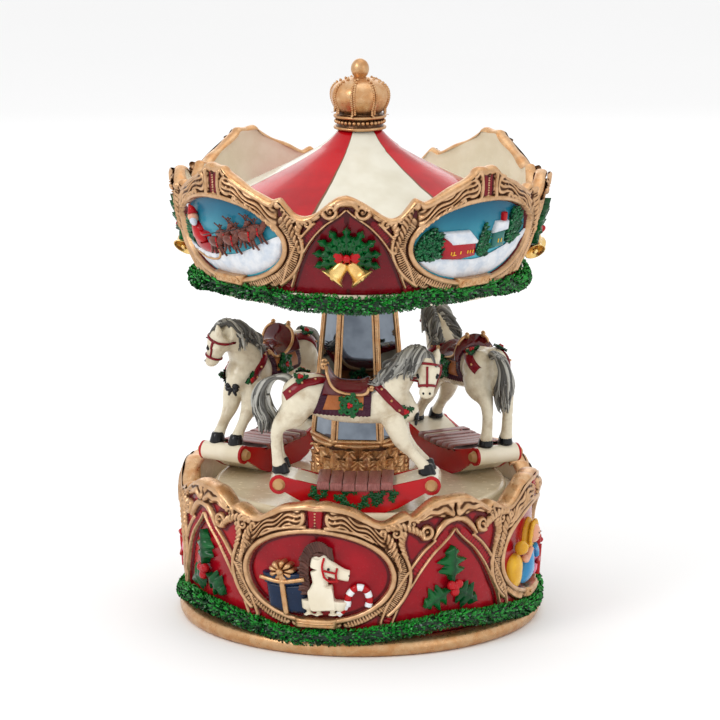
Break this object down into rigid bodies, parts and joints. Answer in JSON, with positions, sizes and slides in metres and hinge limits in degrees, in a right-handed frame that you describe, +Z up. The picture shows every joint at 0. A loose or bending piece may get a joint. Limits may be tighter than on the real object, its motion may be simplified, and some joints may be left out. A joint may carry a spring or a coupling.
{
  "type": "carousel music box",
  "caption": "Clockwork carousel music box: red and gold base, turning table with rocking horses, mirrored column, flared canopy with striped tent roof and crown.",
  "frame": {"origin": "centre of the base's underside, on the surface the box stands on", "axes": "+Z up along the carousel's axis; -Y towards the base's front toy panel, +X to its right"},
  "size_m": [0.1164, 0.1164, 0.175],
  "materials": {
    "antique_gold": "cast resin, gold paint with a brown wash",
    "bell_gold": "cast resin relief, painted gold, green and red",
    "brake_plastic": "black plastic",
    "bush_plastic": "white plastic bush",
    "column_mirror": "silvered glass",
    "comb_steel": "hardened spring steel",
    "cover_plastic": "black moulded plastic",
    "cream_resin": "cast resin, painted cream, glossy",
    "garland_green": "cast resin, painted green, glitter",
    "horse_ivory": "cast resin, painted ivory, glossy",
    "key_brass": "brass-plated steel",
    "movement_brass": "brass",
    "movement_casting": "zinc die casting, bare",
    "movement_steel": "steel",
    "painted_holly": "cast resin relief, hand painted, glossy",
    "painted_resin_red": "cast resin, painted dark red with gold frames, glossy",
    "painted_scenes": "cast resin relief, hand painted, glossy",
    "painted_toys": "cast resin relief, hand painted, glossy",
    "plank_brown": "cast resin, painted brown",
    "rail_red": "cast resin, painted red, glossy",
    "saddle_red": "cast resin, painted, glossy",
    "spring_steel": "blued spring steel",
    "steel_screws": "zinc-plated steel",
    "striped_roof": "cast resin, red and cream stripes, glossy"
  },
  "bodies": {
    "base": {"base_garland": "garland_green", "base_shell": "painted_resin_red", "bed_screws": "steel_screws", "bottom_cover": "cover_plastic", "comb_screws": "steel_screws", "cover_screws": "steel_screws", "far_bearing_bracket": "movement_brass", "governor_frame": "movement_steel", "holly_reliefs": "painted_holly", "movement_bedplate": "movement_casting", "music_comb": "comb_steel", "near_bearing_bracket": "movement_brass", "spindle_bush": "bush_plastic", "toy_reliefs": "painted_toys"},
    "carousel": {"spring_barrel": "movement_brass", "barrel_lid": "movement_brass", "mainspring": "spring_steel", "drive_spindle": "movement_steel", "turntable": "cream_resin", "acanthus_collar": "antique_gold", "column_casting": "antique_gold", "column_mirrors": "column_mirror", "column_capital": "antique_gold", "tie_rod": "movement_steel", "canopy_shell": "painted_resin_red", "tent_roof": "striped_roof", "canopy_garland": "garland_green", "scene_plaques": "painted_scenes", "bell_appliques": "bell_gold", "crown_finial": "antique_gold", "rocker_bosses": "antique_gold", "horse_front": "horse_ivory", "saddle_front": "saddle_red", "rocker_front": "cream_resin", "rocker_rails_front": "rail_red", "rocker_planks_front": "plank_brown", "horse_right": "horse_ivory", "saddle_right": "saddle_red", "rocker_right": "cream_resin", "rocker_rails_right": "rail_red", "rocker_planks_right": "plank_brown", "horse_left": "horse_ivory", "saddle_left": "saddle_red", "rocker_left": "cream_resin", "rocker_rails_left": "rail_red", "rocker_planks_left": "plank_brown"},
    "winding_key": {"winding_key": "key_brass", "winding_arbor": "movement_steel"},
    "music_cylinder": {"music_cylinder": "movement_brass", "cylinder_pinion": "movement_brass", "cylinder_pivot": "movement_steel", "great_wheel": "movement_brass"},
    "governor_arbor": {"governor_arbor": "movement_brass"},
    "air_brake": {"governor_worm": "movement_steel", "air_brake": "brake_plastic"}
  },
  "joints": [
    {"name": "carousel_spin", "type": "hinge", "parent": "base", "child": "carousel", "pos_m": [0, 0, 0], "axis": [0, 0, 1], "continuous": true},
    {"name": "key_turn", "type": "hinge", "parent": "base", "child": "winding_key", "pos_m": [0, 0, 0], "axis": [0, 0, 1], "range_deg": [0, 1800]},
    {"name": "cylinder_spin", "type": "hinge", "parent": "base", "child": "music_cylinder", "pos_m": [0, 0, 0.0276], "axis": [1, 0, 0], "continuous": true},
    {"name": "governor_spin", "type": "hinge", "parent": "base", "child": "governor_arbor", "pos_m": [0, -0.0076, 0.02439], "axis": [1, 0, 0], "continuous": true},
    {"name": "brake_spin", "type": "hinge", "parent": "base", "child": "air_brake", "pos_m": [0.0406, -0.0124, 0], "axis": [0, 0, 1], "continuous": true}
  ],
  "couplings": [
    {"joint": "cylinder_spin", "follows": "carousel_spin", "ratio": 4},
    {"joint": "governor_spin", "follows": "carousel_spin", "ratio": -22.4},
    {"joint": "brake_spin", "follows": "carousel_spin", "ratio": -448}
  ]
}
